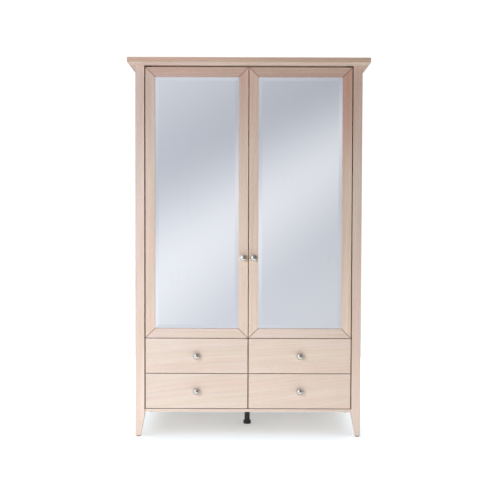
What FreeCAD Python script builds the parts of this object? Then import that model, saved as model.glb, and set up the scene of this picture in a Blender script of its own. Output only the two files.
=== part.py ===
import FreeCAD, Part
import os
import re
import Sketcher

# Two-door, four-drawer armoire. Millimetres, X to the right, Y to the back, Z up.
# The origin is on the floor, in the middle of the overall box; the doors face -Y.

SIZES = {
    # body
    "body_width": 1200,
    "body_depth": 600,
    "overall_height": 2009,
    "overhang": 38,
    "cornice_thickness": 25,
    "crown_thickness": 11,
    "crown_reveal": 6,
    "leg_width": 47,
    "foot_width": 25.5,
    "taper_height": 113,
    "glide_height": 7,
    "glide_radius": 12,
    "carcass_bottom": 132.5,
    "bottom_thickness": 15.5,
    "panel_thickness": 19,
    "side_recess": 4,
    "top_thickness": 18,
    "partition_thickness": 18,
    "back_thickness": 5,
    "back_recess": 13,
    "board_setback": 7,
    # fronts
    "front_gap": 4,
    "side_gap": 5.5,
    "drawer_middle_gap": 6,
    "top_gap": 7.5,
    "front_recess": 8,
    "front_thickness": 22,
    "door_bottom": 530,
    "deck_drop": 3.2,
    "frame_width": 50,
    "rebate_width": 8,
    "lip_thickness": 6,
    "glass_play": 1,
    "glass_thickness": 5,
    "facet_width": 20,
    "facet_depth": 1,
    "backing_thickness": 6,
    # door pivots and catches
    "pivot_from_edge": 12,
    "pivot_from_face": 8,
    "pivot_radius": 4,
    "pivot_play": 0.05,
    "pivot_length": 12,
    "pivot_plate_width": 38,
    "pivot_plate_thickness": 2.2,
    "lower_plate_depth": 70,
    "upper_plate_depth": 28,
    "catch_from_middle": 25,
    "catch_width": 40,
    "catch_depth": 40,
    "catch_height": 14,
    "strike_thickness": 1.5,
    "strike_inset": 5,
    "catch_play": 0.5,
    # drawers
    "box_length": 460,
    "box_height": 130,
    "box_lift": 16,
    "box_side_play": 10,
    "box_wood": 12,
    "box_bottom_thickness": 6,
    "box_bottom_lift": 8,
    "groove_depth": 6,
    "groove_height": 18,
    "groove_lift": 56,
    "runner_play": 0.5,
    # knobs
    "knob_radius": 17.5,
    "knob_reach": 20,
    "knob_flange_radius": 9,
    "knob_flange_thickness": 2,
    "knob_neck_radius": 6.5,
    "door_knob_height": 957,
    # inside fittings
    "shelf_bottom": 1640,
    "shelf_play": 1,
    "shelf_end_gap": 10,
    "shelf_pin_radius": 2.5,
    "shelf_pin_reach": 8,
    "shelf_pin_depth": 10,
    "shelf_pin_inset": 60,
    "rail_height": 1580,
    "rail_radius": 12.5,
    "rail_wall": 1.5,
    "rail_play": 0.2,
    "socket_radius": 22,
    "socket_thickness": 14,
    # middle support leg with its levelling foot
    "support_offset": 5,
    "support_radius": 15,
    "support_flange_radius": 30,
    "support_flange_thickness": 4,
    "support_foot_radius": 22,
    "support_foot_top_radius": 19,
    "support_foot_height": 20,
    "support_foot_round": 4,
    "spindle_radius": 5,
    "spindle_play": 0.05,
    "spindle_length": 60,
}

# Places that follow from the sizes above.
PLACES = {
    "back": "(body_depth + overhang) / 2",
    "body_front": "back - body_depth",
    "half_body": "body_width / 2",
    "leg_inner": "half_body - leg_width",
    "leg_back": "body_front + leg_width",
    "rear_leg_front": "back - leg_width",
    "cornice_bottom": "overall_height - cornice_thickness",
    "crown_bottom": "cornice_bottom - crown_thickness",
    "panel_outer": "half_body - side_recess",
    "panel_inner": "panel_outer - panel_thickness",
    "front_face": "body_front + front_recess",
    "front_back": "front_face + front_thickness",
    "board_front": "front_back + board_setback",
    "board_back": "back - back_recess - back_thickness",
    "top_bottom": "crown_bottom - top_thickness",
    "bottom_top": "carcass_bottom + bottom_thickness",
    "deck_top": "door_bottom - deck_drop",
    "deck_bottom": "deck_top - panel_thickness",
    "door_top": "crown_bottom - top_gap",
    "front_outer": "leg_inner - side_gap",
    "front_inner": "front_gap / 2",
    "drawer_inner": "drawer_middle_gap / 2",
    "lower_drawer": "bottom_top + front_gap",
    "drawer_height": "(door_bottom - lower_drawer - 2 * front_gap) / 2",
    "upper_drawer": "lower_drawer + drawer_height + front_gap",
    "front_middle": "(front_outer + drawer_inner) / 2",
    "glass_inset": "frame_width - rebate_width + glass_play",
    "glass_front": "front_face + lip_thickness",
    "glass_back": "glass_front + glass_thickness",
    "facet_inset": "rebate_width - glass_play + facet_width",
    "pivot_from_middle": "front_outer - pivot_from_edge",
    "pivot_depth": "front_face + pivot_from_face",
    "catch_front": "front_back + strike_thickness + catch_play",
    "box_outer": "leg_inner - box_side_play",
    "box_inner": "partition_thickness / 2 + box_side_play",
    "box_back": "front_back + box_length",
    "middle_depth": "(body_front + back) / 2",
    "support_across": "-support_offset",
    "support_bore": "spindle_radius + spindle_play",
}

doc = FreeCAD.newDocument("Armoire")
sheet = doc.addObject("Spreadsheet::Sheet", "Sizes")
for row, (alias, size) in enumerate(SIZES.items(), start=1):
    sheet.set(f"A{row}", alias)
    sheet.set(f"B{row}", str(size))
    sheet.setAlias(f"B{row}", alias)
doc.recompute()

TO_FRONT = FreeCAD.Rotation(FreeCAD.Vector(1, 0, 0), 90)
TO_RIGHT = FreeCAD.Rotation(FreeCAD.Vector(0, 1, 0), 90)
subparts = []


def formula(words):
    """The sheet's own expression for a length written in plain names."""
    def spell_out(match):
        name = match.group()
        if name in PLACES:
            return f"({formula(PLACES[name])})"
        return f"Sizes.{name}"
    return re.sub(r"[a-z][a-z_]+", spell_out, words)


def bind(item, **lengths):
    """Tie properties of an object to the sheet."""
    for name, words in lengths.items():
        item.setExpression(name, formula(words))


def place(item, x="0 * body_width", y="0 * body_width", z="0 * body_width", turn=FreeCAD.Rotation()):
    """Put an object at a corner or centre that follows the sheet."""
    item.Placement = FreeCAD.Placement(FreeCAD.Vector(), turn)
    for axis, words in (("x", x), ("y", y), ("z", z)):
        item.setExpression(f"Placement.Base.{axis}", formula(words))


def keep(item, label):
    """Give a finished sub-part its name."""
    item.Label = label
    subparts.append(item)
    return item


def span(low, high):
    return f"({high}) - ({low})"


def mirrored(side, near, far):
    """A stretch along X on one side of the middle: side is -1 or 1."""
    if side < 0:
        return f"-({far})", f"-({near})"
    return near, far


def box(name, x, y, z):
    """A rectangular board between two corners, each axis given as (low, high)."""
    item = doc.addObject("Part::Box", name)
    bind(item, Length=span(*x), Width=span(*y), Height=span(*z))
    place(item, x[0], y[0], z[0])
    return item


def rod(name, radius, length, x, y, z, turn=FreeCAD.Rotation()):
    item = doc.addObject("Part::Cylinder", name)
    bind(item, Radius=radius, Height=length)
    place(item, x, y, z, turn)
    return item


def group(name, pieces):
    """Separate solids that share one node."""
    item = doc.addObject("Part::Compound", name)
    item.Links = pieces
    return item


def cut(name, base, tool):
    item = doc.addObject("Part::Cut", name)
    item.Base = base
    item.Tool = tool
    return item


def fuse(name, base, tool):
    item = doc.addObject("Part::Fuse", name)
    item.Base = base
    item.Tool = tool
    return item


def origin_plane(body, role):
    return next(plane for plane in body.Origin.OriginFeatures if plane.Role == role)


def outline_sketch(body, role, points, lift=None):
    """A closed outline of straight lines whose corners all follow the sheet."""
    sketch = body.newObject("Sketcher::SketchObject", "Outline")
    sketch.AttachmentSupport = [(origin_plane(body, role), "")]
    sketch.MapMode = "FlatFace"
    if lift:
        sketch.setExpression("AttachmentOffset.Base.z", formula(lift))
    corners = []
    for across, up in points:
        corners.append(FreeCAD.Vector(
            sheet.evalExpression(formula(across)), sheet.evalExpression(formula(up)), 0))
    count = len(points)
    for index in range(count):
        sketch.addGeometry(Part.LineSegment(corners[index], corners[(index + 1) % count]), False)
    for index in range(count):
        sketch.addConstraint(Sketcher.Constraint("Coincident", index, 2, (index + 1) % count, 1))
    for index, (across, up) in enumerate(points):
        for kind, words, size in (("DistanceX", across, corners[index].x),
                                  ("DistanceY", up, corners[index].y)):
            number = sketch.addConstraint(Sketcher.Constraint(kind, -1, 1, index, 1, size))
            sketch.setExpression(f"Constraints[{number}]", formula(words))
    return sketch


def pad(body, sketch, length, backwards=False):
    item = body.newObject("PartDesign::Pad", "Pad")
    item.Profile = sketch
    item.setExpression("Length", formula(length))
    item.Reversed = backwards
    body.Tip = item
    return item


def new_body(name):
    return doc.addObject("PartDesign::Body", name)


def upright(name, points, depth, y):
    """A piece seen from the front: its outline in X and Z, padded towards the back."""
    body = new_body(name)
    pad(body, outline_sketch(body, "XZ_Plane", points), depth, backwards=True)
    place(body, y=y)
    return body


def flat(name, points, thickness, z):
    """A piece seen from above: its outline in X and Y, padded upwards."""
    body = new_body(name)
    pad(body, outline_sketch(body, "XY_Plane", points), thickness)
    place(body, z=z)
    return body


# ---------------------------------------------------------------- carcass

def leg(label, side, front):
    """A corner post that runs down to the floor, tapered on its inner side."""
    points = [
        (f"{side} * half_body", "glide_height"),
        (f"{side} * (half_body - foot_width)", "glide_height"),
        (f"{side} * leg_inner", "taper_height"),
        (f"{side} * leg_inner", "crown_bottom"),
        (f"{side} * half_body", "crown_bottom"),
    ]
    keep(upright(label, points, "leg_width", front), label)


def leg_glides():
    """A round nail-on glide under each foot."""
    glides = []
    for side in (-1, 1):
        for y in ("body_front + leg_width / 2", "back - leg_width / 2"):
            glides.append(rod("Glide", "glide_radius", "glide_height",
                              f"{side} * (half_body - foot_width / 2)", y, "0 * body_width"))
    keep(group("Glides", glides), "leg_glides")


def shelf_pin_rods(name, radius, side):
    """The shelf's two pins on one side panel, under the shelf."""
    start = mirrored(side, "panel_inner - shelf_pin_reach", "panel_inner + shelf_pin_depth")[0]
    pins = []
    for y in ("leg_back + shelf_pin_inset", "rear_leg_front - shelf_pin_inset"):
        pins.append(rod(name, radius, "shelf_pin_reach + shelf_pin_depth",
                        start, y, "shelf_bottom - shelf_pin_radius", TO_RIGHT))
    return pins


def side_panel(label, side):
    """A side panel between the front and rear legs, bored for the shelf's pins."""
    board = box("SideBoard", mirrored(side, "panel_inner", "panel_outer"),
                ("leg_back", "rear_leg_front"), ("carcass_bottom", "crown_bottom"))
    bores = group("PinBores", shelf_pin_rods("PinBore", "shelf_pin_radius + pivot_play", side))
    keep(cut("SidePanel", board, bores), label)


def notched_board(label, front, thickness, z):
    """A board that fills the carcass, notched round the four legs."""
    corners = [("leg_inner", front), ("leg_inner", "leg_back"), ("panel_inner", "leg_back"),
               ("panel_inner", "rear_leg_front"), ("leg_inner", "rear_leg_front"),
               ("leg_inner", "board_back")]
    right = corners
    left = [(f"-({x})", y) for x, y in reversed(corners)]
    keep(flat("Board", right + left, thickness, z), label)


def crown_outline(side, proud):
    """A crown moulding in plan, mitred at the front corners. side 0 is the front one."""
    if side == 0:
        return [(f"-(half_body + {proud})", f"body_front - {proud}"),
                (f"half_body + {proud}", f"body_front - {proud}"),
                ("leg_inner", "leg_back"),
                ("-leg_inner", "leg_back")]
    return [(f"{side} * (half_body + {proud})", f"body_front - {proud}"),
            (f"{side} * (half_body + {proud})", "back"),
            (f"{side} * leg_inner", "back"),
            (f"{side} * leg_inner", "leg_back")]


def crown_moulding(side):
    """A strip under the cornice board whose outer edge slopes outwards to the top."""
    body = new_body("Crown")
    loft = body.newObject("PartDesign::AdditiveLoft", "Bevel")
    loft.Profile = outline_sketch(body, "XY_Plane", crown_outline(side, "crown_reveal"))
    top = outline_sketch(body, "XY_Plane", crown_outline(side, "(overhang - crown_reveal)"),
                         lift="crown_thickness")
    loft.Sections = [(top, [""])]
    loft.Ruled = True
    body.Tip = loft
    place(body, z="crown_bottom")
    return body


def top_and_bottom():
    keep(box("Cornice", ("-(half_body + overhang)", "half_body + overhang"),
             ("-back", "back"), ("cornice_bottom", "overall_height")), "cornice_board")
    keep(crown_moulding(0), "crown_front_moulding")
    keep(group("CrownSides", [crown_moulding(-1), crown_moulding(1)]), "crown_side_mouldings")
    notched_board("top_panel", "board_front", "top_thickness", "top_bottom")
    notched_board("deck_board", "board_front", "panel_thickness", "deck_bottom")
    notched_board("bottom_board", "front_face", "bottom_thickness", "carcass_bottom")
    keep(box("Back", ("-leg_inner", "leg_inner"), ("board_back", "board_back + back_thickness"),
             ("carcass_bottom", "cornice_bottom")), "back_panel")
    keep(box("Partition", ("-partition_thickness / 2", "partition_thickness / 2"),
             ("board_front", "board_back"), ("bottom_top", "deck_bottom")), "drawer_partition")


def shelf_and_rail():
    """The hat shelf on its pins, and the hanging rail in its two sockets."""
    keep(box("Shelf", ("shelf_play - panel_inner", "panel_inner - shelf_play"),
             ("leg_back + shelf_end_gap", "rear_leg_front - shelf_end_gap"),
             ("shelf_bottom", "shelf_bottom + panel_thickness")), "hat_shelf")
    pins = shelf_pin_rods("ShelfPin", "shelf_pin_radius", -1)
    pins += shelf_pin_rods("ShelfPin", "shelf_pin_radius", 1)
    keep(group("ShelfPins", pins), "shelf_pins")
    start = "shelf_play - panel_inner"
    length = "2 * (panel_inner - shelf_play)"
    outside = rod("RailOutside", "rail_radius", length, start, "middle_depth", "rail_height", TO_RIGHT)
    inside = rod("RailInside", "rail_radius - rail_wall", length, start, "middle_depth", "rail_height",
                 TO_RIGHT)
    keep(cut("Rail", outside, inside), "hanging_rail")
    sockets = []
    for side in (-1, 1):
        start = mirrored(side, "panel_inner - socket_thickness", "panel_inner")[0]
        solid = rod("SocketSolid", "socket_radius", "socket_thickness",
                    start, "middle_depth", "rail_height", TO_RIGHT)
        bore = rod("SocketBore", "rail_radius + rail_play", "socket_thickness",
                   start, "middle_depth", "rail_height", TO_RIGHT)
        sockets.append(cut("Socket", solid, bore))
    keep(group("Sockets", sockets), "rail_sockets")


def middle_support():
    """A round leg under the bottom board, and the foot that screws out of it."""
    across = "support_across"
    floor = "0 * body_width"
    stem = rod("SupportStem", "support_radius", "carcass_bottom - support_foot_height",
               across, "middle_depth", "support_foot_height")
    flange = rod("SupportFlange", "support_flange_radius", "support_flange_thickness",
                 across, "middle_depth", "carcass_bottom - support_flange_thickness")
    bore = rod("SupportBore", "support_bore", "spindle_length + spindle_radius",
               across, "middle_depth", "support_foot_height")
    keep(cut("Support", fuse("SupportSolid", stem, flange), bore), "support_leg")
    disc = rod("FootDisc", "support_foot_radius", "support_foot_height - support_foot_round",
               across, "middle_depth", floor)
    shoulder = doc.addObject("Part::Cone", "FootShoulder")
    bind(shoulder, Radius1="support_foot_radius", Radius2="support_foot_top_radius",
         Height="support_foot_round")
    place(shoulder, across, "middle_depth", "support_foot_height - support_foot_round")
    spindle = rod("Spindle", "spindle_radius", "spindle_length",
                  across, "middle_depth", "support_foot_height")
    keep(fuse("Foot", fuse("FootBase", disc, shoulder), spindle), "support_foot")


# ---------------------------------------------------------------- fronts

def knob(label, x, z):
    """A ball knob on a small flange and neck, standing out from the front."""
    ball = doc.addObject("Part::Sphere", "KnobBall")
    bind(ball, Radius="knob_radius")
    place(ball, x, "front_face - knob_reach", z)
    flange = rod("KnobFlange", "knob_flange_radius", "knob_flange_thickness", x, "front_face", z, TO_FRONT)
    neck = doc.addObject("Part::Cone", "KnobNeck")
    bind(neck, Radius1="knob_flange_radius - knob_flange_thickness", Radius2="knob_neck_radius",
         Height="knob_reach - knob_neck_radius")
    place(neck, x, "front_face", z, TO_FRONT)
    keep(fuse("Knob", fuse("KnobStem", flange, neck), ball), label)


def frame_member(name, ends):
    """One mitred member of a door frame: a full-width lip in front of a rebated back."""
    def outline(width):
        (ax, az, a_in, a_up), (bx, bz, b_in, b_up) = ends
        return [(ax, az), (bx, bz),
                (f"({bx}) + {b_in} * ({width})", f"({bz}) + {b_up} * ({width})"),
                (f"({ax}) + {a_in} * ({width})", f"({az}) + {a_up} * ({width})")]
    body = new_body(name)
    pad(body, outline_sketch(body, "XZ_Plane", outline("frame_width")), "lip_thickness")
    pad(body, outline_sketch(body, "XZ_Plane", outline("frame_width - rebate_width")),
        "front_thickness - lip_thickness", backwards=True)
    place(body, y="glass_front")
    return body


def pivot_bore(side, z):
    """The hole for a pivot pin, down or up into the door's hinge corner."""
    return rod("PivotBore", "pivot_radius + pivot_play", "pivot_length + 1",
               f"{side} * pivot_from_middle", "pivot_depth", z)


def door(word, side):
    """A mitred frame round a bevelled mirror, turning on pins near its outer edge."""
    outer = f"{side} * front_outer"
    inner = f"{side} * front_inner"
    low_outer = (outer, "door_bottom", -side, 1)
    high_outer = (outer, "door_top", -side, -1)
    low_inner = (inner, "door_bottom", side, 1)
    high_inner = (inner, "door_top", side, -1)
    bore_depth = "pivot_length + 1"

    hinge_stile = frame_member("HingeStile", (low_outer, high_outer))
    both_bores = group("HingeBores", [pivot_bore(side, "door_bottom"),
                                      pivot_bore(side, f"door_top - ({bore_depth})")])
    keep(cut("BoredStile", hinge_stile, both_bores), f"{word}_door_hinge_stile")
    top_rail = frame_member("TopRail", (high_outer, high_inner))
    keep(cut("BoredTopRail", top_rail, pivot_bore(side, f"door_top - ({bore_depth})")),
         f"{word}_door_top_rail")
    bottom_rail = frame_member("BottomRail", (low_outer, low_inner))
    keep(cut("BoredBottomRail", bottom_rail, pivot_bore(side, "door_bottom")),
         f"{word}_door_bottom_rail")
    keep(frame_member("LockStile", (low_inner, high_inner)), f"{word}_door_lock_stile")

    mirror(word, side)
    glass_x = mirrored(side, "front_inner + glass_inset", "front_outer - glass_inset")
    glass_z = ("door_bottom + glass_inset", "door_top - glass_inset")
    keep(box("Backing", glass_x, ("glass_back", "glass_back + backing_thickness"), glass_z),
         f"{word}_door_backing")
    knob(f"{word}_door_knob", f"{side} * (front_inner + frame_width / 2)", "door_knob_height")
    strike_x = mirrored(side, "catch_from_middle + strike_inset",
                        "catch_from_middle + catch_width - strike_inset")
    keep(box("Strike", strike_x, ("front_back", "front_back + strike_thickness"),
             ("top_bottom - catch_height", "top_bottom")), f"{word}_door_strike")


def mirror(word, side):
    """Silvered glass with a wide bevelled border on its front."""
    x = mirrored(side, "front_inner + glass_inset", "front_outer - glass_inset")
    z = ("door_bottom + glass_inset", "door_top - glass_inset")
    sheet_of_glass = box("Glass", x, ("glass_front + facet_depth", "glass_back"), z)
    facets = doc.addObject("Part::Wedge", "Facets")
    bind(facets, Xmin=f"({x[0]}) + facet_inset", Xmax=f"({x[1]}) - facet_inset",
         X2min=x[0], X2max=x[1], Ymin="glass_front", Ymax="glass_front + facet_depth",
         Zmin=f"({z[0]}) + facet_inset", Zmax=f"({z[1]}) - facet_inset",
         Z2min=z[0], Z2max=z[1])
    keep(fuse("Mirror", sheet_of_glass, facets), f"{word}_door_mirror")


def door_pivots():
    """Steel plates with pins: two under the crown and two on the deck."""
    pivots = []
    for side in (-1, 1):
        x = mirrored(side, "leg_inner - pivot_plate_width", "leg_inner")
        axis = f"{side} * pivot_from_middle"
        lower = box("LowerPlate", x, ("front_face", "front_face + lower_plate_depth"),
                    ("deck_top", "deck_top + pivot_plate_thickness"))
        lower_pin = rod("LowerPin", "pivot_radius", "door_bottom - deck_top + pivot_length",
                        axis, "pivot_depth", "deck_top")
        pivots.append(fuse("LowerPivot", lower, lower_pin))
        upper = box("UpperPlate", x, ("front_face", "front_face + upper_plate_depth"),
                    ("crown_bottom - pivot_plate_thickness", "crown_bottom"))
        upper_pin = rod("UpperPin", "pivot_radius", "top_gap + pivot_length",
                        axis, "pivot_depth", "door_top - pivot_length")
        pivots.append(fuse("UpperPivot", upper, upper_pin))
    keep(group("Pivots", pivots), "door_pivots")


def magnetic_catches():
    """One catch for each door, under the top panel behind the lock stiles."""
    catches = []
    for side in (-1, 1):
        x = mirrored(side, "catch_from_middle", "catch_from_middle + catch_width")
        catches.append(box("Catch", x, ("catch_front", "catch_front + catch_depth"),
                           ("top_bottom - catch_height", "top_bottom")))
    keep(group("Catches", catches), "magnetic_catches")


# ---------------------------------------------------------------- drawers

def drawer_side(name, face, inward, bottom):
    """A drawer side with a groove along its outer face. inward is -1 or 1 along X."""
    wood = f"({face}) + {inward} * box_wood"
    floor = f"({face}) + {inward} * groove_depth"
    low = f"({bottom}) + groove_lift"
    high = f"({low}) + groove_height"
    top = f"({bottom}) + box_height"
    points = [(face, bottom), (wood, bottom), (wood, top), (face, top),
              (face, high), (floor, high), (floor, low), (face, low)]
    return upright(name, points, "box_length", "front_back")


def drawer(word, side, front_bottom):
    """A drawer box that hangs on runners in its grooves, behind a flush front."""
    front_x = mirrored(side, "drawer_inner", "front_outer")
    keep(box("Front", front_x, ("front_face", "front_back"),
             (front_bottom, f"{front_bottom} + drawer_height")), f"{word}_drawer_front")
    bottom = f"{front_bottom} + box_lift"
    outer_side = drawer_side("OuterSide", f"{side} * box_outer", -side, bottom)
    inner_side = drawer_side("InnerSide", f"{side} * box_inner", side, bottom)
    keep(group("Sides", [outer_side, inner_side]), f"{word}_drawer_sides")
    inside_x = mirrored(side, "box_inner + box_wood", "box_outer - box_wood")
    bottom_low = f"{bottom} + box_bottom_lift"
    bottom_high = f"{bottom_low} + box_bottom_thickness"
    keep(box("Bottom", inside_x, ("front_back", "box_back"), (bottom_low, bottom_high)),
         f"{word}_drawer_bottom")
    keep(box("BoxBack", inside_x, ("box_back - box_wood", "box_back"),
             (bottom_high, f"{bottom} + box_height")), f"{word}_drawer_back")
    knob(f"{word}_drawer_knob", f"{side} * front_middle", f"{front_bottom} + drawer_height / 2")


def drawer_runners():
    """Hardwood runners on the side panels and the partition, one pair to a drawer."""
    runners = []
    for side in (-1, 1):
        outer_x = mirrored(side, "box_outer - groove_depth + runner_play", "panel_inner")
        inner_x = mirrored(side, "partition_thickness / 2", "box_inner + groove_depth - runner_play")
        for front_bottom in ("lower_drawer", "upper_drawer"):
            low = f"{front_bottom} + box_lift + groove_lift"
            z = (f"{low} + runner_play", f"{low} + groove_height - runner_play")
            for x in (outer_x, inner_x):
                runners.append(box("Runner", x, ("leg_back", "rear_leg_front"), z))
    keep(group("Runners", runners), "drawer_runners")


# ---------------------------------------------------------------- the whole piece

def build():
    leg("front_left_leg", -1, "body_front")
    leg("front_right_leg", 1, "body_front")
    leg("rear_left_leg", -1, "rear_leg_front")
    leg("rear_right_leg", 1, "rear_leg_front")
    leg_glides()
    side_panel("left_side_panel", -1)
    side_panel("right_side_panel", 1)
    top_and_bottom()
    shelf_and_rail()
    middle_support()
    door_pivots()
    magnetic_catches()
    drawer_runners()
    for word, side in (("left", -1), ("right", 1)):
        door(word, side)
        drawer(f"upper_{word}", side, "upper_drawer")
        drawer(f"lower_{word}", side, "lower_drawer")


def check():
    """Stop if any object failed to build."""
    for item in doc.Objects:
        if "Invalid" in item.State or "Error" in item.State:
            raise RuntimeError(f"{item.Name} ({item.Label}) is in state {item.State}")
    for item in subparts:
        if item.Shape.isNull() or not item.Shape.isValid():
            raise RuntimeError(f"{item.Label} has no valid shape")


build()
doc.recompute()
check()
os.makedirs("parts", exist_ok=True)
for item in subparts:
    item.Shape.exportStep(f"parts/{item.Label}.step")
print(len(subparts), "sub-parts written")
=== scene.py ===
import math

import bmesh
import bpy
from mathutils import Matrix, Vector


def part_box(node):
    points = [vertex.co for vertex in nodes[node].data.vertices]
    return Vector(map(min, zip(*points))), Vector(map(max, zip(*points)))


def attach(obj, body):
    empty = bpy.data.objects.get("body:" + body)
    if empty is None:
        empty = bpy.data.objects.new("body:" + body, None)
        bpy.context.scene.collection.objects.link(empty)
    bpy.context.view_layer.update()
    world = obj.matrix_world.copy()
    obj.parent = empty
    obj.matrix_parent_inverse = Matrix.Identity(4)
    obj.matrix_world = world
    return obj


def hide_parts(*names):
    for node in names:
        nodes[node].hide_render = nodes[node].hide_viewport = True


# A whitewashed oak armoire with bevelled mirror doors. All shapes but the knobs come from the
# frame; this script gives them their materials and eased edges, turns the knobs, and sets the
# studio round the object. Metres, Z up, the doors face -Y.

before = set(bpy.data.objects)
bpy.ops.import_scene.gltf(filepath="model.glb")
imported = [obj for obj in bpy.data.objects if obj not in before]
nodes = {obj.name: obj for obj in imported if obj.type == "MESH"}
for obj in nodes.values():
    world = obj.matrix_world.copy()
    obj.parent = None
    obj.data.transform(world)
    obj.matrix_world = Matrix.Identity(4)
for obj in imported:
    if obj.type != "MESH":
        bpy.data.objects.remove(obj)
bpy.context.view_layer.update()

EASED_EDGE = 0.0011          # the sanded arris of a solid board
THIN_EDGE = 0.0004           # the edge of runners and small plastic feet
ROUNDED_POST = 0.003         # the softened edges of the posts

# how single boards differ from the plain oak, as boards from different planks do; the top panel
# and the partition are toned down as painted shade, so that the gaps in front of them look dark
BOARD_TONES_AND_GAP_SHADE = {
    "top_rail": (0.8, 0.69, 0.63),
    "bottom_rail": (0.97, 0.955, 0.965),
    "hinge_stile": (1.0, 0.965, 0.91),
    "lock_stile": (1.0, 0.965, 0.91),
    "cornice_board": (1.0, 0.86, 0.74),
    "crown_front_moulding": (0.9, 0.87, 0.84),
    "crown_side_mouldings": (0.9, 0.87, 0.84),
    "left_drawer_front": (0.99, 1.01, 1.02),
    "right_drawer_front": (0.98, 0.98, 0.97),
    "front_left_leg": (1.04, 1.02, 1.01),
    # painted shade: these two boards stand behind the gaps
    "top_panel": (0.6, 0.52, 0.47),
    "drawer_partition": (0.7, 0.62, 0.56),
}
PLAIN_TONE = (1.0, 1.0, 1.0)

# the boards that grow darker and redder towards the top: partly their own tone, partly painted shade
# where the light falls off upwards
TOP_TONES_AND_SHADE = {
    "front_left_leg": (0.95, 0.94, 0.92),
    "front_right_leg": (0.97, 0.85, 0.82),
    "left_door_hinge_stile": (0.94, 0.9, 0.92),
    "left_door_lock_stile": (0.9, 0.82, 0.79),
    "right_door_lock_stile": (0.95, 0.87, 0.85),
    "right_door_hinge_stile": (0.82, 0.62, 0.57),
}
TOP_TINT_HEIGHTS = (1.35, 1.9)      # where the change begins and where it is complete

SIDES = ("left", "right")
LEVELS = ("upper", "lower")


# ---------------------------------------------------------------- node material helpers

class Shader:
    """Builds one material's nodes: add() makes a node, fills its inputs and returns it."""

    def __init__(self, name):
        self.material = bpy.data.materials.new(name)
        self.material.use_nodes = True
        self.tree = self.material.node_tree
        self.tree.nodes.clear()
        self.output = self.tree.nodes.new("ShaderNodeOutputMaterial")

    def add(self, kind, inputs=None, **settings):
        node = self.tree.nodes.new(kind)
        for key, value in settings.items():
            setattr(node, key, value)
        for key, value in (inputs or {}).items():
            if isinstance(value, bpy.types.NodeSocket):
                self.tree.links.new(value, node.inputs[key])
            else:
                node.inputs[key].default_value = value
        return node

    def math(self, operation, first, second=0.0, third=0.0):
        return self.add("ShaderNodeMath", {0: first, 1: second, 2: third},
                        operation=operation).outputs[0]

    def range(self, value, low, high, to_low=0.0, to_high=1.0, smooth=False):
        kind = "SMOOTHSTEP" if smooth else "LINEAR"
        return self.add("ShaderNodeMapRange",
                        {"Value": value, "From Min": low, "From Max": high,
                         "To Min": to_low, "To Max": to_high},
                        interpolation_type=kind).outputs["Result"]

    def noise(self, vector, scale, detail=2.0, roughness=0.5):
        return self.add("ShaderNodeTexNoise",
                        {"Vector": vector, "Scale": scale, "Detail": detail,
                         "Roughness": roughness}).outputs["Fac"]

    def stretched(self, vector, scale, offset=(0.0, 0.0, 0.0), turn=(0.0, 0.0, 0.0)):
        return self.add("ShaderNodeMapping",
                        {"Vector": vector, "Location": offset, "Rotation": turn,
                         "Scale": scale}).outputs["Vector"]

    def mix(self, factor, first, second, blend="MIX"):
        node = self.add("ShaderNodeMix", data_type="RGBA", blend_type=blend)
        for socket, value in ((node.inputs[0], factor), (node.inputs[6], first),
                              (node.inputs[7], second)):
            if isinstance(value, bpy.types.NodeSocket):
                self.tree.links.new(value, socket)
            else:
                socket.default_value = value
        return node.outputs[2]

    def position(self):
        """The point in the piece's own space, so the pattern travels with a moving piece."""
        return self.add("ShaderNodeTexCoord").outputs["Object"]

    def bump(self, height, strength, distance):
        return self.add("ShaderNodeBump", {"Height": height, "Strength": strength,
                                           "Distance": distance}).outputs["Normal"]

    def finish(self, **inputs):
        names = {key.replace("_", " "): value for key, value in inputs.items()}
        surface = self.add("ShaderNodeBsdfPrincipled", names)
        self.tree.links.new(surface.outputs["BSDF"], self.output.inputs["Surface"])
        return self.material


def rgb(red, green, blue):
    return (red, green, blue, 1.0)


def tinted(colour, tint):
    return rgb(*[part * level for part, level in zip(colour, tint)])


# turning the texture so that its own Z runs along the grain
GRAIN_TURN = {
    "X": (0.0, math.radians(90), 0.0),
    "Y": (math.radians(90), 0.0, 0.0),
    "Z": (0.0, 0.0, 0.0),
}

OAK_PALE = rgb(0.785, 0.675, 0.605)
OAK_DARK = rgb(0.59, 0.455, 0.385)
BIRCH_PALE = rgb(0.78, 0.64, 0.47)
BIRCH_DARK = rgb(0.60, 0.44, 0.28)
ROSY = rgb(1.02, 0.96, 0.95)
SANDY = rgb(0.98, 1.0, 0.94)
LIME = rgb(0.86, 0.82, 0.78)
MITRE_STAIN = rgb(0.3, 0.15, 0.1)

HEART = (0.11, -0.27)        # the heart of the growth rings, in the texture's own X and Y
RINGS_PER_METRE = 62.0
RING_SWEEP = 0.16            # how far the rings wander in long curves
RING_RIPPLE = 0.012          # and in short ones
RING_WEIGHT = 0.16           # how much each pattern adds to the dark tone
STREAK_WEIGHT = 0.42
FIBRE_WEIGHT = 0.2
PATCH_WEIGHT = 0.25
TONE_RANGE = (0.1, 1.2)      # the sums of the patterns that are pale and dark wood
MITRE_GROOVE = 0.0012        # half the width of a mitre line's darkest part, measured level
MITRE_REACH = 0.06           # how far above or below the corner the line can run
DRAWER_FIGURE = 0.65         # the drawer fronts are cut from calmer boards
DRAWER_LEANS = (4, 7)        # the degrees that their grain runs off level, in turn


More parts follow.
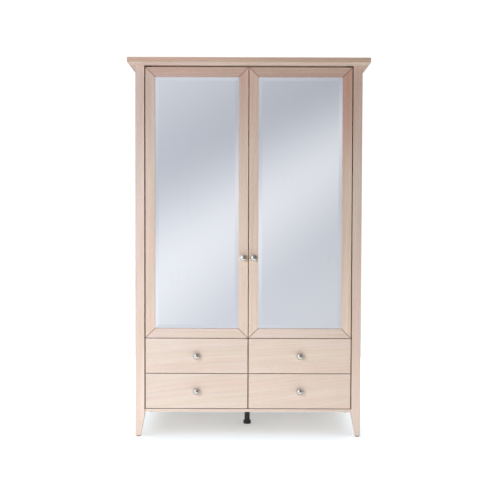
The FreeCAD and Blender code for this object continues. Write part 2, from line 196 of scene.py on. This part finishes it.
def growth_rings(shader, along):
    """Rings round a heart that wanders along the board, from 0 in early to 1 in late wood."""
    sweep = shader.noise(shader.stretched(along, (2.0, 2.0, 0.5)), 1.0, 1.0, 0.4)
    ripple = shader.noise(shader.stretched(along, (14.0, 14.0, 1.6)), 1.0, 2.0, 0.5)
    parts = shader.add("ShaderNodeSeparateXYZ", {"Vector": along}).outputs
    radius = shader.math("SQRT", shader.math(
        "ADD", shader.math("POWER", shader.math("ADD", parts["X"], -HEART[0]), 2.0),
        shader.math("POWER", shader.math("ADD", parts["Y"], -HEART[1]), 2.0)))
    swept = shader.math("MULTIPLY_ADD", sweep, RING_SWEEP, radius)
    swept = shader.math("MULTIPLY_ADD", ripple, RING_RIPPLE, swept)
    wave = shader.math("SINE", shader.math("MULTIPLY", swept, 2 * math.pi * RINGS_PER_METRE))
    return shader.math("POWER", shader.range(wave, -1.0, 1.0), 2.2)


def mitre_stain(shader, place, x, z, slope):
    """How strongly the finish has settled along the mitre line through (x, z)."""
    line = shader.add("ShaderNodeSeparateXYZ", {"Vector": place}).outputs
    across = shader.math("ADD", line["X"], -x)
    up = shader.math("ADD", line["Z"], -z)
    distance = shader.math("ABSOLUTE", shader.math("MULTIPLY_ADD", up, -slope, across))
    stain = shader.range(distance, MITRE_GROOVE, 4.0 * MITRE_GROOVE, 0.9, 0.0, smooth=True)
    near = shader.math("LESS_THAN", shader.math("ABSOLUTE", up), MITRE_REACH)
    return shader.math("MULTIPLY", stain, near)


def wood(name, grain, seed, pale, dark, tilt=0.0, mitres=(), pores=0.5, tint=PLAIN_TONE,
         top_tint_and_shade=PLAIN_TONE, figure=1.0):
    """Open-grained wood: growth rings cut by the board's face, fibres and limed pores.

    grain is the axis that the grain runs along, tilt how far it wanders off that axis, and
    mitres a list of (x, z, slope) lines where the finish has settled dark in a mitre.
    tint colours one board apart from the others, as boards from different planks are; on the top
    panel and the partition it is painted shade in the gaps before them. The top tint is a further
    tint that grows towards the top of the wardrobe, partly the boards' own tone and partly painted
    shade where the light falls off upwards. pores is how much lime fills the pores, and figure how
    strongly the rings and streaks show.
    """
    # the tint is each board's own tone, and painted shade on the top panel and the partition
    pale, dark = tinted(pale, tint), tinted(dark, tint)
    shader = Shader(name)
    place = shader.position()
    turn = GRAIN_TURN[grain]
    offset = (0.37 * seed % 1.7, 0.23 * seed % 1.3, 0.71 * seed % 2.9)
    wandering = (turn[0], turn[1] + tilt, turn[2])
    along = shader.stretched(place, (1.0, 1.0, 1.0), offset, wandering)

    # the rings, and finer patterns that follow the grain
    rings = growth_rings(shader, along)
    fibres = shader.noise(shader.stretched(along, (420.0, 420.0, 7.0)), 1.0, 3.0, 0.6)
    streaks = shader.noise(shader.stretched(along, (55.0, 55.0, 1.4)), 1.0, 3.0, 0.55)
    patches = shader.noise(shader.stretched(along, (5.0, 5.0, 1.6)), 1.0, 2.0, 0.5)
    pore = shader.noise(shader.stretched(along, (1500.0, 1500.0, 55.0)), 1.0, 1.0, 0.5)
    pore = shader.range(pore, 0.62, 0.72)

    tone = shader.math("MULTIPLY", rings, RING_WEIGHT * figure)
    for pattern, weight in ((streaks, STREAK_WEIGHT * figure), (fibres, FIBRE_WEIGHT),
                            (patches, PATCH_WEIGHT)):
        tone = shader.math("MULTIPLY_ADD", shader.range(pattern, 0.3, 0.7), weight, tone)
    # a calmer figure is made up for, so that the board is as dark on the whole
    tone = shader.math("ADD", tone, 0.25 * (1.0 - figure))
    colour = shader.mix(shader.range(tone, *TONE_RANGE), pale, dark)

    # some streaks lean to rose, others to sand
    drift = shader.noise(shader.stretched(along, (23.0, 23.0, 1.1), (4.0, 7.0, 1.0)), 1.0, 2.0, 0.5)
    colour = shader.mix(shader.range(drift, 0.52, 0.68), colour, ROSY, blend="MULTIPLY")
    colour = shader.mix(shader.range(drift, 0.48, 0.32), colour, SANDY, blend="MULTIPLY")
    # darker and redder towards the top: partly the board's own tone, partly painted shade where the
    # light falls off
    if top_tint_and_shade != PLAIN_TONE:
        height = shader.add("ShaderNodeSeparateXYZ", {"Vector": place}).outputs["Z"]
        rise = shader.range(height, *TOP_TINT_HEIGHTS, smooth=True)
        colour = shader.mix(rise, colour, rgb(*top_tint_and_shade), blend="MULTIPLY")
    limed = shader.math("MULTIPLY", pore, pores)
    colour = shader.mix(limed, colour, LIME)
    for mitre in mitres:
        colour = shader.mix(mitre_stain(shader, place, *mitre), colour, MITRE_STAIN)

    # pores sink into the face, fibres and rings stand a little proud
    height = shader.math("MULTIPLY_ADD", pore, -0.8, shader.math("MULTIPLY", fibres, 0.5))
    height = shader.math("MULTIPLY_ADD", rings, 0.15, height)
    return shader.finish(
        Base_Color=colour,
        Roughness=shader.range(fibres, 0.25, 0.75, 0.42, 0.58),
        Normal=shader.bump(height, 0.35, 0.0006))


def silvered_glass():
    shader = Shader("silvered_glass")
    place = shader.position()
    haze = shader.noise(shader.stretched(place, (9.0, 9.0, 6.0)), 1.0, 3.0, 0.6)
    wipe = shader.noise(shader.stretched(place, (60.0, 60.0, 9.0)), 1.0, 2.0, 0.5)
    smear = shader.math("MULTIPLY", shader.range(haze, 0.5, 0.75), shader.range(wipe, 0.45, 0.7))
    return shader.finish(
        Base_Color=shader.mix(smear, rgb(0.86, 0.885, 0.95), rgb(0.84, 0.865, 0.925)),
        Metallic=1.0,
        Roughness=shader.range(smear, 0.0, 1.0, 0.015, 0.05))


def satin_nickel():
    shader = Shader("satin_nickel")
    place = shader.position()
    cloud = shader.noise(place, 90.0, 3.0, 0.6)
    scratch = shader.noise(shader.stretched(place, (2600.0, 260.0, 2600.0)), 1.0, 2.0, 0.6)
    return shader.finish(
        Base_Color=shader.mix(cloud, rgb(0.58, 0.565, 0.545), rgb(0.5, 0.485, 0.465)),
        Metallic=1.0,
        Roughness=shader.range(scratch, 0.3, 0.7, 0.2, 0.32),
        Normal=shader.bump(scratch, 0.12, 0.0002))


def plated_steel(name, bright, dull):
    shader = Shader(name)
    place = shader.position()
    spangle = shader.add("ShaderNodeTexVoronoi", {"Vector": place, "Scale": 420.0}).outputs["Distance"]
    drawn = shader.noise(shader.stretched(place, (90.0, 2200.0, 2200.0)), 1.0, 2.0, 0.5)
    return shader.finish(
        Base_Color=shader.mix(spangle, bright, dull),
        Metallic=1.0,
        Roughness=shader.range(drawn, 0.3, 0.7, 0.26, 0.42),
        Normal=shader.bump(drawn, 0.1, 0.0002))


def moulded_plastic(name, colour, worn, roughness):
    shader = Shader(name)
    place = shader.position()
    grainy = shader.noise(place, 1800.0, 2.0, 0.6)
    scuff = shader.noise(place, 70.0, 4.0, 0.7)
    return shader.finish(
        Base_Color=shader.mix(shader.range(scuff, 0.55, 0.8), colour, worn),
        Roughness=shader.range(scuff, 0.3, 0.7, roughness, roughness + 0.12),
        Normal=shader.bump(grainy, 0.25, 0.0003))


def fibreboard(name, pale, dark):
    """Thin board with a printed pale-oak foil, and pressed fibres that show close up."""
    shader = Shader(name)
    place = shader.position()
    fleck = shader.noise(shader.stretched(place, (900.0, 900.0, 120.0)), 1.0, 3.0, 0.7)
    stripe = shader.noise(shader.stretched(place, (26.0, 26.0, 0.9)), 1.0, 3.0, 0.5)
    tone = shader.math("MULTIPLY_ADD", shader.range(fleck, 0.3, 0.7), 0.4,
                       shader.math("MULTIPLY", shader.range(stripe, 0.3, 0.7), 0.6))
    return shader.finish(
        Base_Color=shader.mix(tone, pale, dark),
        Roughness=shader.range(fleck, 0.3, 0.7, 0.5, 0.7),
        Normal=shader.bump(fleck, 0.2, 0.0004))


def studio_floor():
    """A lit white floor that glows, with a painted shadow: its glow is weaker under the object than
    round it.
    """
    shader = Shader("studio_floor")
    place = shader.position()
    speckle = shader.noise(place, 35.0, 4.0, 0.6)
    parts = shader.add("ShaderNodeSeparateXYZ", {"Vector": place}).outputs
    squares = []
    for axis, half in (("X", SHADED_HALF_WIDTH), ("Y", SHADED_HALF_DEPTH)):
        past = shader.math("ADD", shader.math("ABSOLUTE", parts[axis]), -half)
        squares.append(shader.math("POWER", shader.math("MAXIMUM", past, 0.0), 2.0))
    clear = shader.math("SQRT", shader.math("ADD", *squares))
    # painted shadow: the glow is weaker under the object than round it
    glow = shader.range(clear, *GLOW_RISE, FLOOR_GLOW_IN_PAINTED_SHADOW, OPEN_FLOOR_GLOW, smooth=True)
    return shader.finish(
        Base_Color=shader.mix(speckle, rgb(0.9, 0.9, 0.9), rgb(0.87, 0.87, 0.87)),
        Emission_Color=rgb(0.87, 0.965, 1.0),
        Emission_Strength=glow,
        Roughness=shader.range(speckle, 0.3, 0.7, 0.75, 0.9))


# ---------------------------------------------------------------- materials on the CAD pieces

def dress(node, material):
    """Give one CAD piece its material."""
    mesh_object = nodes[node]
    for material_slot in mesh_object.material_slots:
        material_slot.material = material
    if not mesh_object.material_slots:
        mesh_object.data.materials.append(material)


def ease(node, width):
    """Round a piece's edges over a little, without touching its own mesh."""
    bevel = nodes[node].modifiers.new("eased_edges", "BEVEL")
    bevel.width = width
    bevel.segments = 2
    bevel.limit_method = "ANGLE"
    bevel.angle_limit = math.radians(40)
    bevel.harden_normals = False


def door_mitres(word):
    """The four mitre lines of a door, each as a point and the direction it slopes."""
    low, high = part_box(f"{word}_door_hinge_stile")
    other_low, other_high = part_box(f"{word}_door_lock_stile")
    left = min(low[0], other_low[0])
    right = max(high[0], other_high[0])
    bottom, top = low[2], high[2]
    return [(left, bottom, 1), (left, top, -1), (right, bottom, -1), (right, top, 1)]


def dress_all():
    oak_grain = {
        "Z": ["front_left_leg", "front_right_leg", "rear_left_leg", "rear_right_leg",
              "left_side_panel", "right_side_panel"],
        "X": ["cornice_board", "crown_front_moulding", "top_panel", "deck_board", "bottom_board",
              "hat_shelf"],
        "Y": ["crown_side_mouldings", "drawer_partition"],
    }
    seed = 1
    for grain, names in oak_grain.items():
        for node in names:
            seed += 1
            dress(node, wood(f"oak_{node}", grain, seed, OAK_PALE, OAK_DARK,
                             tint=BOARD_TONES_AND_GAP_SHADE.get(node, PLAIN_TONE),
                             top_tint_and_shade=TOP_TONES_AND_SHADE.get(node, PLAIN_TONE)))
            ease(node, ROUNDED_POST if node.endswith("_leg") else EASED_EDGE)
    for word in SIDES:
        mitres = door_mitres(word)
        for piece, grain in (("hinge_stile", "Z"), ("lock_stile", "Z"), ("top_rail", "X"),
                             ("bottom_rail", "X")):
            node = f"{word}_door_{piece}"
            seed += 1
            dress(node, wood(f"oak_{node}", grain, seed, OAK_PALE, OAK_DARK, mitres=mitres,
                             tint=BOARD_TONES_AND_GAP_SHADE[piece], top_tint_and_shade=TOP_TONES_AND_SHADE.get(node, PLAIN_TONE)))
            ease(node, EASED_EDGE)
        for level in LEVELS:
            drawer = f"{level}_{word}_drawer"
            seed += 1
            dress(f"{drawer}_front", wood(f"oak_{drawer}_front", "X", seed, OAK_PALE, OAK_DARK,
                                          tilt=math.radians(DRAWER_LEANS[seed % 2]),
                                          tint=BOARD_TONES_AND_GAP_SHADE[f"{word}_drawer_front"],
                                          figure=DRAWER_FIGURE))
            ease(f"{drawer}_front", EASED_EDGE)
            for piece, grain in (("sides", "Y"), ("back", "X")):
                dress(f"{drawer}_{piece}", wood(f"birch_{drawer}_{piece}", grain, seed + 40,
                                                BIRCH_PALE, BIRCH_DARK, pores=0.1))
                ease(f"{drawer}_{piece}", EASED_EDGE)
    dress("drawer_runners", wood("birch_runners", "Y", 77, BIRCH_PALE, BIRCH_DARK, pores=0.1))
    ease("drawer_runners", THIN_EDGE)

    glass = silvered_glass()
    steel = plated_steel("zinc_plated_steel", rgb(0.66, 0.67, 0.69), rgb(0.5, 0.51, 0.53))
    dark_steel = plated_steel("burnished_steel", rgb(0.2, 0.19, 0.18), rgb(0.13, 0.12, 0.115))
    black = moulded_plastic("black_plastic", rgb(0.012, 0.012, 0.014), rgb(0.035, 0.035, 0.038), 0.4)
    white = moulded_plastic("white_plastic", rgb(0.78, 0.78, 0.76), rgb(0.66, 0.65, 0.62), 0.35)
    board = fibreboard("oak_foil_board", rgb(0.66, 0.53, 0.44), rgb(0.52, 0.4, 0.32))
    for node in ("shelf_pins", "hanging_rail", "rail_sockets"):
        dress(node, steel)
    dress("door_pivots", dark_steel)
    for node in ("leg_glides", "support_leg", "support_foot"):
        dress(node, black)
        ease(node, THIN_EDGE)
    dress("magnetic_catches", white)
    ease("magnetic_catches", EASED_EDGE)
    dress("back_panel", board)
    for word in SIDES:
        dress(f"{word}_door_mirror", glass)
        dress(f"{word}_door_backing", board)
        dress(f"{word}_door_strike", steel)
        for level in LEVELS:
            dress(f"{level}_{word}_drawer_bottom", board)


# ---------------------------------------------------------------- turned knobs

FLANGE_RADIUS = 0.009
FLANGE_RIM = 0.0014          # the flange's upright rim
FLANGE_THICKNESS = 0.002
NECK_RADIUS = 0.0084         # where the neck leaves the flange
WAIST_RADIUS = 0.0062        # where it is thinnest
WAIST_FLARE = 1.12           # how much it widens again to meet the ball
ROUND_STEPS = 64
NECK_STEPS = 7
BALL_STEPS = 26


def lathe(name, profile):
    """A turned piece: (distance along the axis, radius) points swept round -Y."""
    mesh = bpy.data.meshes.new(name)
    work = bmesh.new()
    rings = []
    for along, radius in profile:
        if radius < 1e-6:
            rings.append([work.verts.new((0.0, -along, 0.0))])
            continue
        ring = []
        for step in range(ROUND_STEPS):
            angle = 2 * math.pi * step / ROUND_STEPS
            ring.append(work.verts.new((radius * math.cos(angle), -along, radius * math.sin(angle))))
        rings.append(ring)
    for first, second in zip(rings, rings[1:]):
        for step in range(ROUND_STEPS):
            following = (step + 1) % ROUND_STEPS
            corners = [first[step % len(first)], first[following % len(first)],
                       second[following % len(second)], second[step % len(second)]]
            unique = list(dict.fromkeys(corners))
            if len(unique) > 2:
                work.faces.new(unique)
    bmesh.ops.recalc_face_normals(work, faces=work.faces)
    for face in work.faces:
        face.smooth = True
    work.to_mesh(mesh)
    work.free()
    piece = bpy.data.objects.new(name, mesh)
    bpy.context.scene.collection.objects.link(piece)
    return piece


def knob_profile(reach, ball_radius):
    """Flange, waisted neck and ball, as the knob stands out to reach from the front."""
    points = [(0.0, 0.0), (0.0, FLANGE_RADIUS), (FLANGE_RIM, FLANGE_RADIUS),
              (FLANGE_THICKNESS, NECK_RADIUS)]
    centre = reach - ball_radius
    join = math.acos(WAIST_RADIUS * WAIST_FLARE / ball_radius)
    neck_end = centre - ball_radius * math.sin(join)
    for step in range(1, NECK_STEPS):
        share = step / NECK_STEPS
        along = FLANGE_THICKNESS + (neck_end - FLANGE_THICKNESS) * share
        radius = WAIST_RADIUS + (NECK_RADIUS - WAIST_RADIUS) * (1 - share) ** 3
        points.append((along, radius))
    for step in range(BALL_STEPS + 1):
        angle = -join + (join + math.pi / 2) * step / BALL_STEPS
        points.append((centre + ball_radius * math.sin(angle), ball_radius * math.cos(angle)))
    points[-1] = (reach, 0.0)
    return points


def turn_knobs():
    """Put a turned knob in the place of each plain one, riding on its door or drawer."""
    nickel = satin_nickel()
    fronts = [f"{word}_door" for word in SIDES]
    fronts += [f"{level}_{word}_drawer" for level in LEVELS for word in SIDES]
    for front in fronts:
        low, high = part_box(f"{front}_knob")
        profile = knob_profile(high[1] - low[1], (high[0] - low[0]) / 2)
        piece = lathe(f"{front}_turned_knob", profile)
        piece.location = ((low[0] + high[0]) / 2, high[1], (low[2] + high[2]) / 2)
        piece.data.materials.append(nickel)
        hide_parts(f"{front}_knob")
        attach(piece, front)


# ---------------------------------------------------------------- studio

LIGHT_AIM = (0.0, -0.28, 1.0)
FLOOR_RADIUS = 2.5
FLOOR_SUN = 2.6
FLOOR_SUN_COLOUR = (0.87, 0.94, 1.0)
FLOOR_GLOW_IN_PAINTED_SHADOW = 0.287           # under the object, where the weaker glow is a painted shadow
OPEN_FLOOR_GLOW = 0.85       # away from it
SHADED_HALF_WIDTH = 0.4      # the middle of the floor, where the glow is weak
SHADED_HALF_DEPTH = 0.2
GLOW_RISE = (0.08, 0.45)     # the distances from it between which the glow grows
SCREEN_DEPTH = -4.9
# each fold of light on the screen: its height at the screen's middle, and its brightness
SCREEN_FOLDS = ((-0.75, 0.77), (0.23, 0.73), (1.22, 0.885), (2.32, 0.555), (3.35, 0.68))
FOLD_SLOPE = 0.842           # how steeply a fold rises to the right
FOLD_FAN = 0.161             # how much less steeply, for each metre higher
SCREEN_FADE = -0.089         # how its light changes for each metre to the right
SCREEN_DIM = 0.3             # what is left of it beyond its right and top edges
SCREEN_EDGES = (("X", 1.3, 1.9), ("Z", 3.1, 3.9))      # axis, where an edge begins and ends
SCREEN_SPAN = (-4.0, 4.0)
SCREEN_HEIGHTS = (-2.5, 5.0)
SCREEN_WARM = rgb(1.0, 1.0, 1.0)
SCREEN_COOL = rgb(0.984, 1.0, 1.045)


def link(piece):
    bpy.context.scene.collection.objects.link(piece)
    return piece


def aim(item, target):
    direction = Vector(target) - item.location
    item.rotation_euler = direction.to_track_quat("-Z", "Y").to_euler()


def floor():
    """A round pale floor; the object stands in its middle."""
    mesh = bpy.data.meshes.new("studio_floor")
    work = bmesh.new()
    bmesh.ops.create_circle(work, cap_ends=True, segments=96, radius=FLOOR_RADIUS)
    work.to_mesh(mesh)
    work.free()
    piece = link(bpy.data.objects.new("studio_floor", mesh))
    piece.data.materials.append(studio_floor())
    return piece


def keep_off(item, ground):
    """Keep a light off the floor, which has a light of its own and no hard shadows."""
    receivers = bpy.data.collections.new(f"{item.name}_receivers")
    receivers.objects.link(ground)
    receivers.collection_objects[0].light_linking.link_state = "EXCLUDE"
    item.light_linking.receiver_collection = receivers


def soft_box(name, place, target, width, height, power, colour):
    """A rectangular light that shows neither to the camera nor in the mirrors and knobs."""
    light = bpy.data.lights.new(name, "AREA")
    light.shape = "RECTANGLE"
    light.size = width
    light.size_y = height
    light.energy = power
    light.color = colour
    item = link(bpy.data.objects.new(name, light))
    item.location = place
    item.visible_camera = False
    item.visible_glossy = False
    aim(item, target)
    return item


def floor_light(ground):
    """A wide, soft sun that only lights the floor."""
    light = bpy.data.lights.new("canopy", "SUN")
    light.energy = FLOOR_SUN
    light.angle = math.radians(110)
    light.color = FLOOR_SUN_COLOUR
    item = link(bpy.data.objects.new("canopy", light))
    item.location = (0.0, -1.6, 4.0)
    aim(item, (0.0, 0.0, 0.0))
    receivers = bpy.data.collections.new("canopy_receivers")
    receivers.objects.link(ground)
    item.light_linking.receiver_collection = receivers


def screen():
    """A studio screen in front, with soft diagonal folds of light across it.

    It only shows in the mirrors, the knobs and the wood's sheen.
    """
    shader = Shader("studio_screen")
    place = shader.add("ShaderNodeSeparateXYZ", {"Vector": shader.position()}).outputs
    rise = shader.math("MULTIPLY_ADD", place["X"], -FOLD_SLOPE, place["Z"])
    fan = shader.math("MULTIPLY_ADD", place["X"], -FOLD_FAN, 1.0)
    lowest, highest = SCREEN_FOLDS[0][0], SCREEN_FOLDS[-1][0]
    fold = shader.range(shader.math("DIVIDE", rise, fan), lowest, highest)
    ramp = shader.add("ShaderNodeValToRGB", {"Fac": fold})
    ramp.color_ramp.interpolation = "EASE"
    elements = ramp.color_ramp.elements
    while len(elements) < len(SCREEN_FOLDS):
        elements.new(0.5)
    for element, (height, level) in zip(elements, SCREEN_FOLDS):
        element.position = (height - lowest) / (highest - lowest)
        element.color = rgb(level, level, level)
    level = ramp.outputs["Color"]
    tint = shader.mix(shader.range(level, 0.55, 0.85), SCREEN_COOL, SCREEN_WARM)
    strength = shader.math("MULTIPLY_ADD", place["X"], SCREEN_FADE, 1.0)
    for beyond, start, end in SCREEN_EDGES:
        strength = shader.math("MULTIPLY", strength,
                               shader.range(place[beyond], start, end, 1.0, SCREEN_DIM, smooth=True))
    glow = shader.add("ShaderNodeEmission", {
        "Color": shader.mix(1.0, tint, level, blend="MULTIPLY"),
        "Strength": strength})
    shader.tree.links.new(glow.outputs[0], shader.output.inputs["Surface"])
    mesh = bpy.data.meshes.new("studio_screen")
    left, right = SCREEN_SPAN
    bottom, top = SCREEN_HEIGHTS
    mesh.from_pydata([(left, 0, bottom), (right, 0, bottom), (right, 0, top), (left, 0, top)], [],
                     [(0, 1, 2, 3)])
    piece = link(bpy.data.objects.new("studio_screen", mesh))
    piece.location = (0.0, SCREEN_DEPTH, 0.0)
    piece.data.materials.append(shader.material)
    piece.visible_camera = False
    piece.visible_shadow = False
    piece.visible_diffuse = False


def side_curtain(name, outline, strength):
    """A glowing curtain along one side, which only shows in reflections.

    Seen from the front it shows in the knobs and the wood's sheen, and from the sides also in
    the mirrors. outline gives its (x, z) points, seen from the front.
    """
    shader = Shader(name)
    drape = shader.noise(shader.stretched(shader.position(), (0.3, 2.5, 0.3)), 1.0, 1.0, 0.4)
    place = shader.add("ShaderNodeSeparateXYZ", {"Vector": shader.position()}).outputs
    level = shader.range(drape, 0.3, 0.7, 0.9 * strength, 1.1 * strength)
    for axis, start, end, first, last in CURTAIN_FADES:
        level = shader.math("MULTIPLY", level,
                            shader.range(place[axis], start, end, first, last, smooth=True))
    glow = shader.add("ShaderNodeEmission", {"Color": rgb(1.0, 1.0, 1.0), "Strength": level})
    shader.tree.links.new(glow.outputs[0], shader.output.inputs["Surface"])
    mesh = bpy.data.meshes.new(name)
    near, far = CURTAIN_REACH
    points = []
    for x, z in outline:
        points += [(x, near, z), (x, far, z)]
    faces = [(2 * step, 2 * step + 1, 2 * step + 3, 2 * step + 2) for step in range(len(outline) - 1)]
    mesh.from_pydata(points, [], faces)
    piece = link(bpy.data.objects.new(name, mesh))
    piece.data.materials.append(shader.material)
    piece.visible_camera = False
    piece.visible_shadow = False
    piece.visible_diffuse = False


# how the air looks to each kind of ray, as a colour and a strength; all others see the light
AIR_LIGHT = (rgb(1.0, 0.93, 0.87), 0.01)
AIR_IN_MIRRORS = (rgb(0.95, 0.97, 1.0), 0.3)
AIR_TO_CAMERA = (rgb(1.0, 1.0, 1.0), 1.05)


def air():
    """White behind everything the camera sees, a grey room in the mirrors, a dim one as light."""
    world = bpy.data.worlds.new("studio_air")
    world.use_nodes = True
    tree = world.node_tree
    tree.nodes.clear()
    output = tree.nodes.new("ShaderNodeOutputWorld")
    path = tree.nodes.new("ShaderNodeLightPath")

    def background(colour, strength):
        node = tree.nodes.new("ShaderNodeBackground")
        node.inputs["Color"].default_value = colour
        node.inputs["Strength"].default_value = strength
        return node.outputs[0]

    shown = background(*AIR_LIGHT)
    for ray, look in (("Is Glossy Ray", AIR_IN_MIRRORS), ("Is Camera Ray", AIR_TO_CAMERA)):
        choice = tree.nodes.new("ShaderNodeMixShader")
        tree.links.new(path.outputs[ray], choice.inputs[0])
        tree.links.new(shown, choice.inputs[1])
        tree.links.new(background(*look), choice.inputs[2])
        shown = choice.outputs[0]
    tree.links.new(shown, output.inputs["Surface"])
    bpy.context.scene.world = world
    bpy.context.scene.view_settings.view_transform = "Standard"


# ---------------------------------------------------------------- lights and camera

# name, place, what it aims at, width, height, power, colour
SOFT_BOXES = (
    ("key_softbox", (-2.0, -3.2, 1.4), LIGHT_AIM, 1.0, 1.3, 77.0, (0.74, 0.79, 1.0)),
    ("front_softbox", (-0.4, -3.3, 0.35), LIGHT_AIM, 2.4, 0.7, 23.0, (1.0, 0.64, 0.05)),
    ("rear_right_softbox", (2.8, 1.9, 1.9), LIGHT_AIM, 1.6, 1.6, 60.0, (1.0, 0.96, 0.92)),
    ("top_softbox", (0.0, 0.4, 3.5), (0.0, 0.3, 2.0), 1.6, 0.5, 20.0, (1.0, 0.97, 0.94)),
    ("rear_left_softbox", (-2.8, 1.9, 1.9), LIGHT_AIM, 1.6, 1.6, 60.0, (1.0, 0.96, 0.92)),
)

CURTAIN_REACH = (-4.9, 1.4)     # from the screen to behind the object
# along which axis a curtain fades, from where to where, and its level at each end
CURTAIN_FADES = (("Z", -0.4, 0.9, 0.25, 1.0), ("Y", -4.9, -3.3, 0.35, 1.0), ("Y", -1.5, 1.3, 1.0, 0.2))
# name, outline, strength
SIDE_CURTAINS = (
    ("left_curtain", ((-3.0, -0.4), (-3.0, 2.4), (-2.3, 3.7), (-0.9, 4.3)), 2.2),
    ("right_curtain", ((3.0, -0.4), (3.0, 2.4), (2.3, 3.7), (0.9, 4.3)), 0.32),
)


CAMERA_PLACE = (0.008, -4.512, 1.132)
CAMERA_DIP = 1.784           # degrees below level
CAMERA_ROLL = -0.188         # degrees
LENS = 57.4
SENSOR_WIDTH = 36.0


def studio():
    ground = floor()
    floor_light(ground)
    screen()
    for words in SIDE_CURTAINS:
        side_curtain(*words)
    for words in SOFT_BOXES:
        keep_off(soft_box(*words), ground)
    air()


def camera():
    data = bpy.data.cameras.new("camera")
    data.sensor_width = SENSOR_WIDTH
    data.lens = LENS
    item = link(bpy.data.objects.new("camera", data))
    item.location = CAMERA_PLACE
    item.rotation_euler = (math.radians(90 - CAMERA_DIP), math.radians(CAMERA_ROLL), 0.0)
    bpy.context.scene.camera = item


dress_all()
turn_knobs()
studio()
camera()
